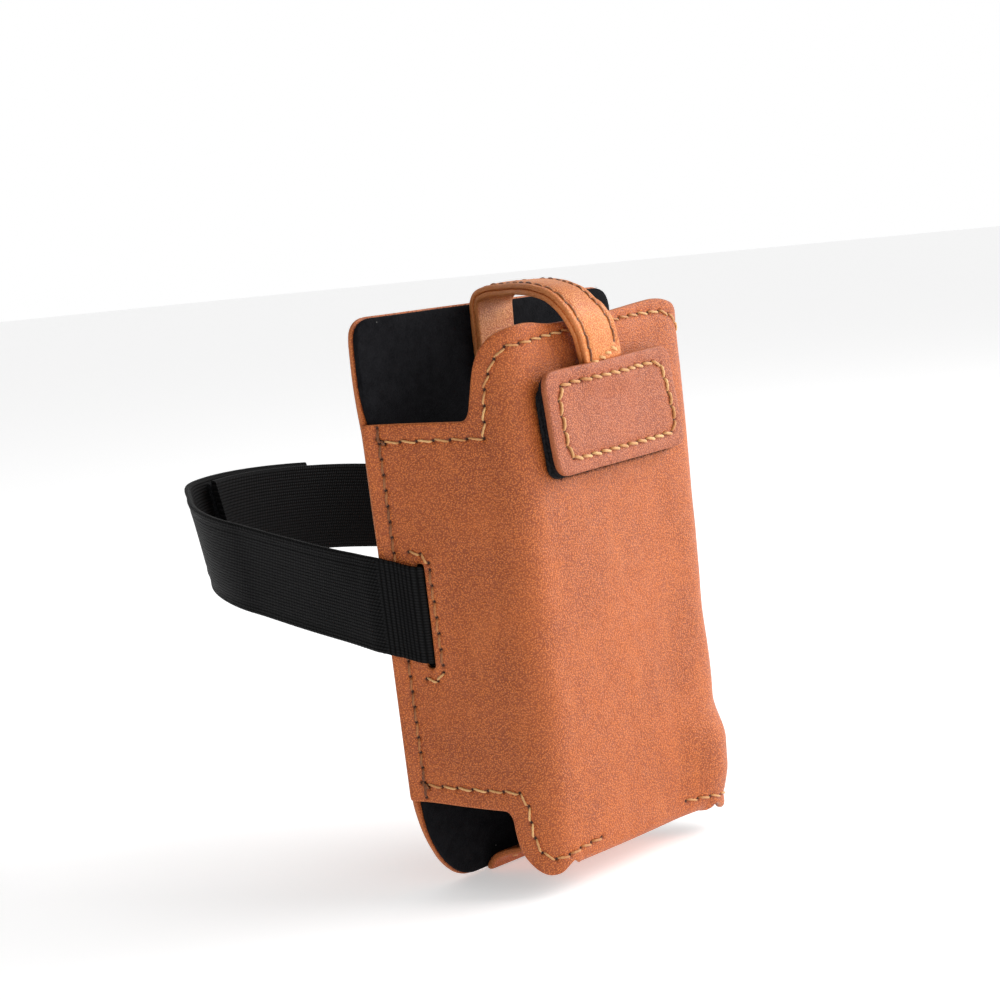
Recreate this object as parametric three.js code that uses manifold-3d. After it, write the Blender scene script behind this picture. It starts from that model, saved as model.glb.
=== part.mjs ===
// Leather pouch that carries a wireless transmitter on the bell of a saxophone.
// Millimetres, +Z up. The origin is the middle of the back panel's rear face,
// which lies on the bell. +Y points at the bell, +X to the pouch's left-hand side
// as worn, which is the right seen from the front.
import * as THREE from 'three';
import { mergeVertices } from 'three/addons/utils/BufferGeometryUtils.js';
import Module from 'manifold-3d';

const wasm = await Module();
wasm.setup();

// ---------------------------------------------------------------- dimensions
const LEATHER = 1.8;
const FELT = 1.0;
const GAP = 0.3;

// Outline of the pouch. Its side edges lean: it is wider at the mouth.
const EDGE_HALF_WIDTH = 49.3;
const EDGE_LEAN = 0.045;
const FLANGE = 4.0;
const PANEL_TOP = 66.7;
const PANEL_BOTTOM = -72.6;
const PANEL_CORNER = 9;

// Layers from the bell outwards: back panel, back lining, front sheet.
const PANEL_FRONT = -LEATHER;
const LINING_FRONT = PANEL_FRONT - FELT;
const FLANGE_FRONT = LINING_FRONT - LEATHER;
const FACE_FRONT = -37.0;
const FACE_HALF_WIDTH = 20;
const CORNER_X = 36.5;
const CORNER_RADIUS = 9;

// Front sheet's edges, seen from the side.
const MOUTH_TOP = 63.9;
const MOUTH_NOTCH = 41.4;
const FOOT_NOTCH = -49.6;
const FOOT_TIP = -68.1;
const FOOT_EDGE = -66.0;
const FLAP_HALF_WIDTH = 18.5;

// Slots for the band, measured along the front sheet from its outer edge.
const SLOT_TRAVEL = 8.6;
const SLOT_WIDTH = 2.6;
const SLOT_TOP = 7.6;
const SLOT_BOTTOM = -17.4;

// Closure strap over the mouth, and the patch on its end.
const STRAP_CENTRE = -7;
const STRAP_WIDTH = 14;
const STRAP_LAYER = 1.45;
const STRAP_END = 50.1;
const STRAP_HINGE = { y: -1.6, z: 67.0 };
const PATCH = { x: -3.1, z: 38, width: 49, height: 22.5, radius: 4, turn: 4.2 };
const PAD = 1.1;

// Elastic band round the bell. It widens upwards with the bell's flare.
const BELL_RADIUS = 43.8;
const BAND = 1.6;
const BAND_WIDTH = 24;
const BAND_MIDDLE = -0.9;
const BAND_RISE = 0.15;
const FLARE = 0.0023;
const SPLIT_ANGLE = -78;
const OVERLAP_FROM = -16;
const OVERLAP_TO = 28;

const THREAD = 0.35;
const THREAD_LIFT = THREAD + 0.15;

// ------------------------------------------------------------------ materials
const finish = (color, roughness) => () =>
  new THREE.MeshStandardMaterial({ color, roughness, metalness: 0 });
const tanLeather = finish(0xb5633a, 0.72);
const strapLeather = finish(0xbf6f33, 0.85);
const blackFelt = finish(0x141416, 0.95);
const blackElastic = finish(0x17181a, 0.85);
const hookAndLoop = finish(0x1b1b1c, 0.95);
const goldThread = finish(0xc9a468, 0.6);

const part = new THREE.Group();

function add(name, geometry, material) {
  const mesh = new THREE.Mesh(geometry, material());
  mesh.name = name;
  part.add(mesh);
  return mesh;
}

// ------------------------------------------------------------------- booleans
function toManifold(geometry) {
  const bare = geometry.clone();
  bare.deleteAttribute('normal');
  bare.deleteAttribute('uv');
  const merged = mergeVertices(bare, 1e-5);
  return new wasm.Manifold(new wasm.Mesh({
    numProp: 3,
    vertProperties: new Float32Array(merged.attributes.position.array),
    triVerts: new Uint32Array(merged.index.array),
  }));
}

function toGeometry(solid) {
  const mesh = solid.getMesh();
  const geometry = new THREE.BufferGeometry();
  geometry.setAttribute('position', new THREE.BufferAttribute(mesh.vertProperties, 3));
  geometry.setIndex(new THREE.BufferAttribute(mesh.triVerts, 1));
  geometry.computeVertexNormals();
  return geometry;
}

const keep = (geometry, ...tools) =>
  toGeometry(tools.reduce((solid, tool) => solid.intersect(toManifold(tool)), toManifold(geometry)));
const cut = (geometry, ...tools) =>
  toGeometry(tools.reduce((solid, tool) => solid.subtract(toManifold(tool)), toManifold(geometry)));
const join = (geometry, ...tools) =>
  toGeometry(tools.reduce((solid, tool) => solid.add(toManifold(tool)), toManifold(geometry)));

// -------------------------------------------------------------- shape helpers
const points2 = (list) => list.map(([x, y]) => new THREE.Vector2(x, y));

/** Offsets an open outline sideways; positive distances go to its left. */
function offset(points, distance) {
  return points.map((point, i) => {
    const before = points[Math.max(i - 1, 0)];
    const after = points[Math.min(i + 1, points.length - 1)];
    const along = after.clone().sub(before).normalize();
    return new THREE.Vector2(point.x - along.y * distance, point.y + along.x * distance);
  });
}

/** A closed shape between two offsets of one open outline. */
function ribbon(points, from, to) {
  return new THREE.Shape([...offset(points, from), ...offset(points, to).reverse()]);
}

/** Outline with rounded corners: each point may carry a corner radius. */
function roundedOutline(list) {
  const corner = (i) => new THREE.Vector2(...list[(i + list.length) % list.length]);
  const shape = new THREE.Shape();
  list.forEach(([x, y, radius = 0], i) => {
    const here = new THREE.Vector2(x, y);
    const inward = corner(i - 1).sub(here).setLength(radius).add(here);
    const outward = corner(i + 1).sub(here).setLength(radius).add(here);
    if (i === 0) shape.moveTo(inward.x, inward.y);
    else shape.lineTo(inward.x, inward.y);
    if (radius > 0) shape.quadraticCurveTo(x, y, outward.x, outward.y);
  });
  return shape;
}

function extrude(shape, depth, steps = 1) {
  return new THREE.ExtrudeGeometry(shape, { depth, steps, bevelEnabled: false, curveSegments: 5 });
}

/** Extrudes a front view, drawn in x and z, from y = back to y = front. */
function fromFront(shape, front, back) {
  const geometry = extrude(shape, back - front);
  geometry.rotateX(Math.PI / 2);
  geometry.translate(0, back, 0);
  return geometry;
}

/** Extrudes a side view, drawn in y and z, from x = left to x = right. */
function fromSide(shape, left, right) {
  const geometry = extrude(shape, right - left);
  const turn = new THREE.Matrix4().makeBasis(
    new THREE.Vector3(0, 1, 0), new THREE.Vector3(0, 0, 1), new THREE.Vector3(1, 0, 0));
  geometry.applyMatrix4(turn);
  geometry.translate(left, 0, 0);
  return geometry;
}

function moveVertices(geometry, move) {
  const position = geometry.attributes.position;
  const point = new THREE.Vector3();
  for (let i = 0; i < position.count; i += 1) {
    point.fromBufferAttribute(position, i);
    move(point);
    position.setXYZ(i, point.x, point.y, point.z);
  }
  return geometry;
}

/** A thread's closed tube through the given points. */
function tube(points, stepLength = 3) {
  const path = new THREE.CatmullRomCurve3(points, false, 'chordal');
  const section = new THREE.Shape();
  section.absarc(0, 0, THREAD, 0, Math.PI * 2);
  const steps = Math.max(2, Math.ceil(path.getLength() / stepLength));
  return new THREE.ExtrudeGeometry(section, {
    steps, extrudePath: path, bevelEnabled: false, curveSegments: 3,
  });
}

// ------------------------------------------------------- front sheet's section
const SIDE_STEPS = 5;
const SIDE_BULGE = 0.9;

/** Half of the sheet's outer surface in plan, from the wing's edge to the middle. */
function halfSection() {
  const base = EDGE_HALF_WIDTH - FLANGE;
  const cornerStart = new THREE.Vector2(-CORNER_X, FACE_FRONT + CORNER_RADIUS + 0.8);
  const foldEnd = cornerStart.clone().sub(new THREE.Vector2(-base, FLANGE_FRONT)).setLength(4);
  const foldStart = new THREE.Vector2(-base - 2, FLANGE_FRONT);
  const fold = new THREE.Vector2(-base, FLANGE_FRONT);
  foldEnd.add(fold);
  const sideMiddle = foldEnd.clone().lerp(cornerStart, 0.5).add(new THREE.Vector2(-SIDE_BULGE, 0));
  const faceStart = new THREE.Vector2(-27, FACE_FRONT + 0.5);
  const corner = new THREE.CubicBezierCurve(
    cornerStart, new THREE.Vector2(-CORNER_X + 1.4, FACE_FRONT + 4.2),
    new THREE.Vector2(-CORNER_X + 4.4, FACE_FRONT + 0.8), faceStart);
  return [
    new THREE.Vector2(-EDGE_HALF_WIDTH, FLANGE_FRONT),
    ...new THREE.QuadraticBezierCurve(foldStart, fold, foldEnd).getPoints(4),
    ...new THREE.QuadraticBezierCurve(foldEnd, sideMiddle, cornerStart).getPoints(SIDE_STEPS).slice(1, -1),
    ...corner.getPoints(7),
    new THREE.Vector2(-FACE_HALF_WIDTH, FACE_FRONT),
  ];
}

const leftHalf = halfSection();
const section = [...leftHalf, ...leftHalf.map((p) => new THREE.Vector2(-p.x, p.y)).reverse()];

/** The pouch's sides lean apart towards the mouth, and the front face doesn't. */
function lean(point) {
  const depth = (FACE_FRONT + CORNER_RADIUS - point.y) / (FACE_FRONT + CORNER_RADIUS - FLANGE_FRONT);
  const share = THREE.MathUtils.clamp(depth, 0, 1);
  point.x *= 1 + (EDGE_LEAN / EDGE_HALF_WIDTH) * point.z * share;
  return point;
}

/** A point on the front sheet, from the travel along its section and the height. */
function onSheet(travel, z, lift = THREAD_LIFT) {
  const line = offset(section, -lift);
  let left = travel;
  for (let i = 1; i < section.length; i += 1) {
    const step = section[i].distanceTo(section[i - 1]);
    if (left <= step || i === section.length - 1) {
      const plan = line[i - 1].clone().lerp(line[i], left / step);
      return lean(new THREE.Vector3(plan.x, plan.y, z));
    }
    left -= step;
  }
  return null;
}

const sheetLength = section.slice(1).reduce((sum, p, i) => sum + p.distanceTo(section[i]), 0);

/** Thread points on the sheet, with enough steps to follow its bends. */
function seamOnSheet(corners, mirrored = false) {
  const seam = [];
  corners.slice(1).forEach(([travel, z], i) => {
    const [fromTravel, fromZ] = corners[i];
    const reach = Math.max(Math.abs(travel - fromTravel), Math.abs(z - fromZ) / 3);
    const steps = Math.max(1, Math.ceil(reach / 2));
    for (let k = i === 0 ? 0 : 1; k <= steps; k += 1) {
      const t = k / steps;
      const s = THREE.MathUtils.lerp(fromTravel, travel, t);
      seam.push(onSheet(mirrored ? sheetLength - s : s, THREE.MathUtils.lerp(fromZ, z, t)));
    }
  });
  return seam;
}

// ---------------------------------------------------------------- front sheet
/** Side view of the sheet: notched at the mouth and at the foot. */
function sheetSideView(inset) {
  return roundedOutline([
    [2, MOUTH_NOTCH - inset],
    [-24.9 - inset, MOUTH_NOTCH - 0.9 - inset, 1.8],
    [-25.9 - inset, 51 - inset, 4],
    [-31 - inset, 62 - inset, 4],
    [-40, MOUTH_TOP - inset],
    [-48, MOUTH_TOP - inset],
    [-48, FOOT_EDGE + inset],
    [-36.6, FOOT_EDGE + inset],
    [-33.4, FOOT_TIP - 0.8 + inset * 2.4, 1.6],
    [-27.2 - inset, -64 + inset, 2],
    [-25.8 - inset, FOOT_NOTCH - 3 + inset, 2],
    [2, FOOT_NOTCH + inset],
  ]);
}

const sheetHeight = { from: -72, to: 68 };

function sheet(points, near, far, inset) {
  const body = extrude(ribbon(points, near, far), sheetHeight.to - sheetHeight.from, 7);
  body.translate(0, 0, sheetHeight.from);
  moveVertices(body, lean);
  return keep(body, fromSide(sheetSideView(inset), -60, 60));
}

const FLAP_TAB_FRONT = LINING_FRONT - LEATHER - 0.1;

/** The flap runs from the sheet's foot under the transmitter to the back lining. */
function flapSideView(near, far) {
  const path = new THREE.Path();
  path.moveTo(FACE_FRONT, FOOT_EDGE + 6);
  path.lineTo(FACE_FRONT, FOOT_EDGE + 2);
  path.quadraticCurveTo(FACE_FRONT, FOOT_EDGE - 2, FACE_FRONT + 5, FOOT_EDGE - 2.2);
  path.lineTo(-8.5, -68.4);
  path.quadraticCurveTo(FLAP_TAB_FRONT, -68.4, FLAP_TAB_FRONT, -70);
  path.lineTo(FLAP_TAB_FRONT, PANEL_BOTTOM + 0.6);
  return ribbon(path.getPoints(6), near, far);
}

/** A block that stands square to the sheet at the slot, from depth = near to far. */
function slotBlock(side, width, near, far, clearance) {
  const travel = side < 0 ? SLOT_TRAVEL : sheetLength - SLOT_TRAVEL;
  const outer = onSheet(travel, 0, 0);
  const inner = onSheet(travel, 0, -1);
  const inward = inner.clone().sub(outer).normalize();
  const block = new THREE.BoxGeometry(far - near, width, SLOT_TOP - SLOT_BOTTOM - 2 * clearance);
  block.rotateZ(Math.atan2(inward.y, inward.x));
  const middle = outer.addScaledVector(inward, (near + far) / 2);
  block.translate(middle.x, middle.y, (SLOT_TOP + SLOT_BOTTOM) / 2);
  return block;
}

const slotTool = (side) => slotBlock(side, SLOT_WIDTH, -3, LEATHER + 2, 0);

const flap = fromSide(flapSideView(0, LEATHER), -FLAP_HALF_WIDTH, FLAP_HALF_WIDTH);
add('front_sheet', join(cut(sheet(section, 0, LEATHER, 0), slotTool(-1), slotTool(1)), flap), tanLeather);

const FELT_START = 5;
const liningSection = section.slice(FELT_START, section.length - FELT_START);
const liningBack = LEATHER + GAP;
add('front_lining', sheet(liningSection, liningBack, liningBack + FELT, 2), blackFelt);

// ----------------------------------------------------------------- back panel
function panelOutline(inset) {
  const edge = (z) => EDGE_HALF_WIDTH + EDGE_LEAN * z - inset;
  const right = [
    [30 - inset * 0.4, PANEL_BOTTOM + inset, 4],
    [37.5 - inset * 0.7, -68 + inset * 0.6, 4],
    [edge(-50), -50, 4],
    [edge(MOUTH_NOTCH), MOUTH_NOTCH, 6],
    [edge(0), PANEL_TOP - inset, PANEL_CORNER],
  ];
  const left = right.map(([x, z, radius]) => [-x, z, radius]).reverse();
  return roundedOutline([...right, ...left]);
}

add('back_panel', fromFront(panelOutline(0), PANEL_FRONT, 0), tanLeather);
add('back_lining', fromFront(panelOutline(0.8), LINING_FRONT, PANEL_FRONT), blackFelt);

// ---------------------------------------------------------------- closure strap
/** Outer face of the strap in side view, from its root to the patch. */
const strapCurve = new THREE.CatmullRomCurve3([
  [-3.0, STRAP_HINGE.z + GAP], [-5.2, 69.4], [-9.5, 70.7], [-17, 71.2], [-24, 71.2], [-31, 70.4],
  [-37.2, 68.4], [-41.3, 64.8], [-42.9, 60.2], [-42.4, 54.8], [-41.5, STRAP_END],
].map(([y, z]) => new THREE.Vector3(0, y, z)));
const strapLine = strapCurve.getPoints(22).map((p) => new THREE.Vector2(p.y, p.z));
const strapSides = [STRAP_CENTRE - STRAP_WIDTH / 2, STRAP_CENTRE + STRAP_WIDTH / 2];

add('closure_strap_outer', fromSide(ribbon(strapLine, 0, STRAP_LAYER), ...strapSides), strapLeather);
add('closure_strap_inner',
  fromSide(ribbon(strapLine, STRAP_LAYER + 0.05, STRAP_LAYER * 2 + 0.05), ...strapSides), strapLeather);

const ROOT_TOP = STRAP_HINGE.z - 2.6;
const ROOT_LENGTH = 14;
const rootTab = new THREE.Shape(points2([
  [strapSides[0], ROOT_TOP - ROOT_LENGTH],
  [strapSides[1], ROOT_TOP - ROOT_LENGTH],
  [strapSides[1], ROOT_TOP],
  [strapSides[0], ROOT_TOP],
]));
add('closure_strap_root', fromFront(rootTab, LINING_FRONT - 2 * STRAP_LAYER, LINING_FRONT), strapLeather);

// ---------------------------------------------------------------- patch and pads
/** A rounded rectangle turned like the patch, from y = front to y = back. */
function plaque(front, back, grow = 0, shift = [0, 0]) {
  const w = PATCH.width / 2 + grow;
  const h = PATCH.height / 2 + grow;
  const r = PATCH.radius;
  const outline = roundedOutline([[-w, -h, r], [w, -h, r], [w, h, r], [-w, h, r]]);
  const geometry = fromFront(outline, front, back);
  geometry.rotateY(-THREE.MathUtils.degToRad(PATCH.turn));
  geometry.translate(PATCH.x + shift[0], 0, PATCH.z + shift[1]);
  return geometry;
}

const LOOP_BACK = FACE_FRONT - 0.05;
const HOOK_BACK = LOOP_BACK - PAD - GAP;
const PATCH_BACK = HOOK_BACK - PAD - 0.05;
const PATCH_FRONT = PATCH_BACK - LEATHER;
add('closure_loop_pad', plaque(LOOP_BACK - PAD, LOOP_BACK, 0.2, [-0.3, -0.7]), hookAndLoop);
add('closure_hook_pad', plaque(HOOK_BACK - PAD, HOOK_BACK, -0.3, [0, -0.2]), hookAndLoop);
add('closure_patch', plaque(PATCH_FRONT, PATCH_BACK), tanLeather);

// ------------------------------------------------------------------------- band
/** A point beside the bell: angle 0 is straight behind it, -90 is its left side. */
function roundBell(angle, radius) {
  const a = THREE.MathUtils.degToRad(angle);
  return new THREE.Vector2(radius * Math.sin(a), BELL_RADIUS + radius * Math.cos(a));
}

const SHORT_RADIUS = BELL_RADIUS + 0.3;
const LONG_RADIUS = SHORT_RADIUS + BAND + 2 * PAD + GAP + 0.1;

/** Radius of the long band's inner face: it climbs over the short band's end. */
function longRadius(angle) {
  const climb = THREE.MathUtils.smoothstep(angle, -44, OVERLAP_FROM - 4);
  return THREE.MathUtils.lerp(SHORT_RADIUS, LONG_RADIUS, climb);
}

function arc(from, to, radiusAt, step = 5) {
  const count = Math.ceil((to - from) / step);
  return Array.from({ length: count + 1 }, (_, i) => {
    const angle = THREE.MathUtils.lerp(from, to, i / count);
    return roundBell(angle, radiusAt(angle));
  });
}

/** Inner face of the band from the slot round the pouch's edge to the bell. */
function bandStart() {
  const slot = onSheet(SLOT_TRAVEL - 0.2, 0, 0.8);
  const bend = new THREE.QuadraticBezierCurve(
    new THREE.Vector2(-49.6, -6.0), new THREE.Vector2(-51.1, -4.4), new THREE.Vector2(-51.0, -1));
  return [new THREE.Vector2(slot.x, slot.y), ...bend.getPoints(5)];
}

/** Lifts a flat strip onto the band's place: it rises to the back and flares. */
function placeBand(point) {
  const above = point.z - BAND_WIDTH / 2;
  const onBell = THREE.MathUtils.smoothstep(point.y, -2, 12);
  const scale = 1 + THREE.MathUtils.lerp(EDGE_LEAN / EDGE_HALF_WIDTH, FLARE, onBell) * above;
  const start = BAND_MIDDLE + BAND_RISE * Math.max(point.y, -6);
  point.x *= scale;
  if (point.y > 0) point.y *= scale;
  point.z = start + above;
  return point;
}

function bandStrip(points, near, far, width = BAND_WIDTH) {
  const geometry = extrude(ribbon(points, near, far), width);
  geometry.translate(0, 0, (BAND_WIDTH - width) / 2);
  return moveVertices(geometry, placeBand);
}

const mirror = (points) => points.map((p) => new THREE.Vector2(-p.x, p.y)).reverse();
const SPLIT_GAP = 0.5;

const leftLine = [...bandStart(), ...arc(-88, SPLIT_ANGLE - SPLIT_GAP / 2, () => SHORT_RADIUS)];
add('left_band', bandStrip(leftLine, 0, BAND), blackElastic);

const longLine = arc(SPLIT_ANGLE + SPLIT_GAP / 2, OVERLAP_TO, longRadius);
add('back_band', bandStrip(longLine, 0, BAND), blackElastic);

const shortArc = mirror(arc(-88, -OVERLAP_FROM, () => SHORT_RADIUS));
const shortLine = [...shortArc, ...mirror(bandStart())];
add('right_band', bandStrip(shortLine, 0, BAND), blackElastic);

const padArc = (radius) => arc(OVERLAP_FROM + 2, OVERLAP_TO - 2, () => radius);
add('band_loop_pad', bandStrip(padArc(SHORT_RADIUS + BAND + 0.05), 0, PAD, BAND_WIDTH - 3), hookAndLoop);
add('band_hook_pad', bandStrip(padArc(LONG_RADIUS - PAD - 0.05), 0, PAD, BAND_WIDTH - 3), hookAndLoop);

/** The band's sewn end, which fills the slot and stops at the lining behind it. */
const bandAnchor = (side) => slotBlock(side, SLOT_WIDTH - 2 * GAP, -0.2, LEATHER, GAP);

add('left_band_end', bandAnchor(-1), blackElastic);
add('right_band_end', bandAnchor(1), blackElastic);

// ---------------------------------------------------------------------- threads
const SEAM = 3.2;
const wingSeam = [[SEAM, 36.4], [SEAM, -44.6]];
const mouthSeam = [[SEAM, 37.3], [26.4, 36.6], [28.4, 40], [29.4, 47], [31, 53], [34.5, 57.4], [39, 58.6]];
const footSeam = [[SEAM, -45.4], [25.6, -47.6], [27.6, -49.4], [28.4, -57], [30.5, -62.6], [35, -63.2]];
const FOOT_SEAM_END = [sheetLength / 2 - FLAP_HALF_WIDTH + 0.6, -61.4];
const slotSeam = [[7, 10.4], [10.6, 10.2], [11.6, 8], [11.6, -18], [10.6, -20.4], [6.6, -20]];

const mouthLine = [...mouthSeam, ...mouthSeam.map(([s, z]) => [sheetLength - s, z]).reverse()];
add('mouth_thread', tube(seamOnSheet(mouthLine)), goldThread);
[['left', false], ['right', true]].forEach(([side, mirrored]) => {
  add(`${side}_wing_thread`, tube(seamOnSheet(wingSeam, mirrored)), goldThread);
  add(`${side}_foot_thread`, tube(seamOnSheet([...footSeam, FOOT_SEAM_END], mirrored)), goldThread);
  add(`${side}_slot_thread`, tube(seamOnSheet(slotSeam, mirrored)), goldThread);
});

/** Thread round a rectangle on the front of the patch or of a tab. */
function frameThread(w, h, y, centre, turn, open = false) {
  const corners = [[-w, -h], [w, -h], [w, h], [-w, h]];
  const ring = open ? corners : [...corners, [-w, -h + 1.2]];
  const points = [];
  ring.slice(1).forEach(([x, z], i) => {
    const [fromX, fromZ] = ring[i];
    for (let k = i === 0 ? 0 : 1; k <= 8; k += 1) {
      points.push(new THREE.Vector3(
        THREE.MathUtils.lerp(fromX, x, k / 8), y, THREE.MathUtils.lerp(fromZ, z, k / 8)));
    }
  });
  const geometry = tube(points);
  geometry.rotateY(-THREE.MathUtils.degToRad(turn));
  geometry.translate(centre[0], 0, centre[1]);
  return geometry;
}

add('patch_thread', frameThread(
  PATCH.width / 2 - 3.4, PATCH.height / 2 - 3, PATCH_FRONT - THREAD_LIFT,
  [PATCH.x, PATCH.z], PATCH.turn), goldThread);
add('strap_root_thread', frameThread(
  STRAP_WIDTH / 2 - 2.2, ROOT_LENGTH / 2 - 2.5, LINING_FRONT - 2 * STRAP_LAYER - THREAD_LIFT,
  [STRAP_CENTRE, ROOT_TOP - ROOT_LENGTH / 2], 0), goldThread);

/** Stitching down one edge of the strap, across its end and up the other. */
function strapThread() {
  const line = offset(strapLine, -THREAD_LIFT).slice(2, -2);
  const inset = STRAP_WIDTH / 2 - 2;
  const down = line.map((p) => new THREE.Vector3(STRAP_CENTRE - inset, p.x, p.y));
  const up = line.map((p) => new THREE.Vector3(STRAP_CENTRE + inset, p.x, p.y)).reverse();
  return tube([...down, ...up]);
}

add('strap_thread', strapThread(), goldThread);

const flapRow = [-15, -5, 5, 15].map(
  (x) => new THREE.Vector3(x, FLAP_TAB_FRONT - THREAD_LIFT, PANEL_BOTTOM + 1.6));
add('flap_thread', tube(flapRow), goldThread);

export default part;
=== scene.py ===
"""Looks of the leather transmitter pouch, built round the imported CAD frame.

Shapes are worked out in millimetres in the row frame and turned into metres when
their meshes are made. A sheet is described flat, by u and v, and then placed.
"""
import math

import bmesh
import bpy
import numpy as np
from mathutils import Matrix, Vector
from mathutils.geometry import delaunay_2d_cdt


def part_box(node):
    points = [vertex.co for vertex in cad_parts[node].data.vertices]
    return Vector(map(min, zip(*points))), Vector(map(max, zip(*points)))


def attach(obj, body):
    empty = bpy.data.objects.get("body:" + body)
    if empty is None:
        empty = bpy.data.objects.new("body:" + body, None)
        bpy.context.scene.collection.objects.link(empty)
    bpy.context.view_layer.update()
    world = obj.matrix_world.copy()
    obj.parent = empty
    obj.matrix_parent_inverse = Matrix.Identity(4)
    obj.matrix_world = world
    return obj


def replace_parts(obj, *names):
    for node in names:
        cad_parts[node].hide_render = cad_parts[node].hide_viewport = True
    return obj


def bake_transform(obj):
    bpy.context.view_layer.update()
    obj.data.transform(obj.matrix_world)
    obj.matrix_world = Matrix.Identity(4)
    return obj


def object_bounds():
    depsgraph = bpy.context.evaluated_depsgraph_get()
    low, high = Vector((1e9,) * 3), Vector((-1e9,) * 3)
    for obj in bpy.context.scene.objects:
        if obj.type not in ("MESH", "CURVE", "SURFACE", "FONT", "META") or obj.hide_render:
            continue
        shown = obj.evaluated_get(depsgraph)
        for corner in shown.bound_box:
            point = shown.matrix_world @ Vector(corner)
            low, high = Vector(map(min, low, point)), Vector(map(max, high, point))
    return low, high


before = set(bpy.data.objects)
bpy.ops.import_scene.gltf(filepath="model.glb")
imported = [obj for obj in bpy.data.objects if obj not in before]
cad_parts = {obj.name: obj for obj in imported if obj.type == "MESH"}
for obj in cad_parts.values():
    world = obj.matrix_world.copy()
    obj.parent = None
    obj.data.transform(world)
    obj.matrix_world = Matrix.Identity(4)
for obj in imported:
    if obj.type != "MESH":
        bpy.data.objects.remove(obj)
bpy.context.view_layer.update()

MM = 0.001


def box_mm(node):
    low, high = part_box(node)
    return np.array(low) / MM, np.array(high) / MM


def mm(*place):
    return tuple(c * MM for c in place)


def stand_in(piece, slot, body, *nodes):
    """Gives a piece its body, and lets it replace the named nodes. The slot, its finish, is not used."""
    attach(piece, body)
    if nodes:
        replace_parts(piece, *nodes)


# ---- dimensions
PANEL_LOW, PANEL_HIGH = box_mm("back_panel")
SHEET_LOW, SHEET_HIGH = box_mm("front_sheet")

# Lengths in millimetres. They repeat or refine the CAD model's and don't follow a change of it.
LEATHER = 1.8
FELT = 1.0
FOLD_X = 45.3
EDGE_LEAN = 0.00091
MARGIN = 3.7
FLANGE_FRONT = -(2 * LEATHER + FELT)
FACE_FRONT = SHEET_LOW[1]
CORNER_X = 36.5
CORNER_RADIUS = 9.0
MOUTH_TOP = SHEET_HIGH[2]
FOLD_START = -62.6
SEAM_INSET = 3.9
SLOT_Y = -10.4
SLOT_HALF_WIDTH = 1.2
SLOT_TOP = 8.0
SLOT_BOTTOM = -17.2
STITCH = 3.8
THREAD = 0.27
# Thicknesses of the pieces made here, a little different from the CAD solids' LEATHER and FELT.
FRONT_LEATHER = 1.6
PANEL_LEATHER = 1.3
FRONT_FELT = 0.9
BACK_FELT = 1.4
PATCH_LEATHER = 1.75


# ---- plane curves
def bezier(points, count=24):
    t = np.linspace(0, 1, count)[:, None]
    rows = [np.tile(np.array(p, float), (count, 1)) for p in points]
    while len(rows) > 1:
        rows = [(1 - t) * a + t * b for a, b in zip(rows, rows[1:])]
    return rows[0]


def unit(vectors):
    return vectors / np.linalg.norm(vectors, axis=-1, keepdims=True)


def read_at(s, travel, rows):
    """Each column of the rows, read at those travels."""
    return np.stack([np.interp(s, travel, column) for column in rows.T], axis=-1)


def travel_of(points):
    return np.r_[0, np.cumsum(np.linalg.norm(np.diff(points, axis=0), axis=1))]


def resample(points, step, closed=False):
    points = np.array(points, float)
    if closed:
        points = np.vstack([points, points[:1]])
    travel = travel_of(points)
    count = max(3, int(round(travel[-1] / step)) + 1)
    made = read_at(np.linspace(0, travel[-1], count), travel, points)
    return made[:-1] if closed else made


def soften(points, reach):
    """Smooths an open curve of even steps, and keeps its two ends."""
    out = np.array(points, float)
    for _ in range(reach):
        out[1:-1] = 0.25 * out[:-2] + 0.5 * out[1:-1] + 0.25 * out[2:]
    return out


def spline(points, step):
    """A smooth curve through the points, by centripetal steps."""
    points = np.array(points, float)
    padded = np.vstack([2 * points[0] - points[1], points, 2 * points[-1] - points[-2]])
    parts = []
    for a, b, c, d in zip(padded, padded[1:], padded[2:], padded[3:]):
        k = np.r_[0, np.cumsum([np.linalg.norm(q - p) ** 0.5 for p, q in ((a, b), (b, c), (c, d))])]
        t = np.linspace(k[1], k[2], 12, endpoint=False)[:, None]

        def between(p, q, i, j):
            return (k[j] - t) / (k[j] - k[i]) * p + (t - k[i]) / (k[j] - k[i]) * q

        low = between(between(a, b, 0, 1), between(b, c, 1, 2), 0, 2)
        high = between(between(b, c, 1, 2), between(c, d, 2, 3), 1, 3)
        parts.append(between(low, high, 1, 2))
    return resample(np.vstack([*parts, points[-1:]]), step)


class Curve:
    """A plane curve that is read by its travel, with normals to its right."""

    def __init__(self, points, step=0.25, reach=0):
        self.points = soften(resample(points, step), reach)
        self.travel = travel_of(self.points)
        self.length = self.travel[-1]
        self.along = along = unit(np.gradient(self.points, axis=0))
        self.normals = np.stack([along[:, 1], -along[:, 0]], axis=1)

    def read(self, rows, s):
        return read_at(s, self.travel, rows)

    def at(self, s):
        """Points and normals; past its ends the curve goes on straight."""
        s = np.asarray(s, float)
        over = s - np.clip(s, 0, self.length)
        place = self.read(self.points, s) + over[..., None] * self.read(self.along, s)
        return place, self.read(self.normals, s)


def ripple(u, v, size, seed=0.0):
    """A smooth irregular wave between about -1 and 1, of that size in millimetres."""
    waves = ((1.0, 0.35, 0.3), (-0.62, 0.91, 1.7), (0.27, -1.23, 4.1), (1.41, 0.77, 2.6), (-1.13, -0.58, 5.2))
    total = sum(np.sin((a * u + b * v) * 6.283 / size + c + seed * (2.1 + a)) for a, b, c in waves)
    return total / 2.6


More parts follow.
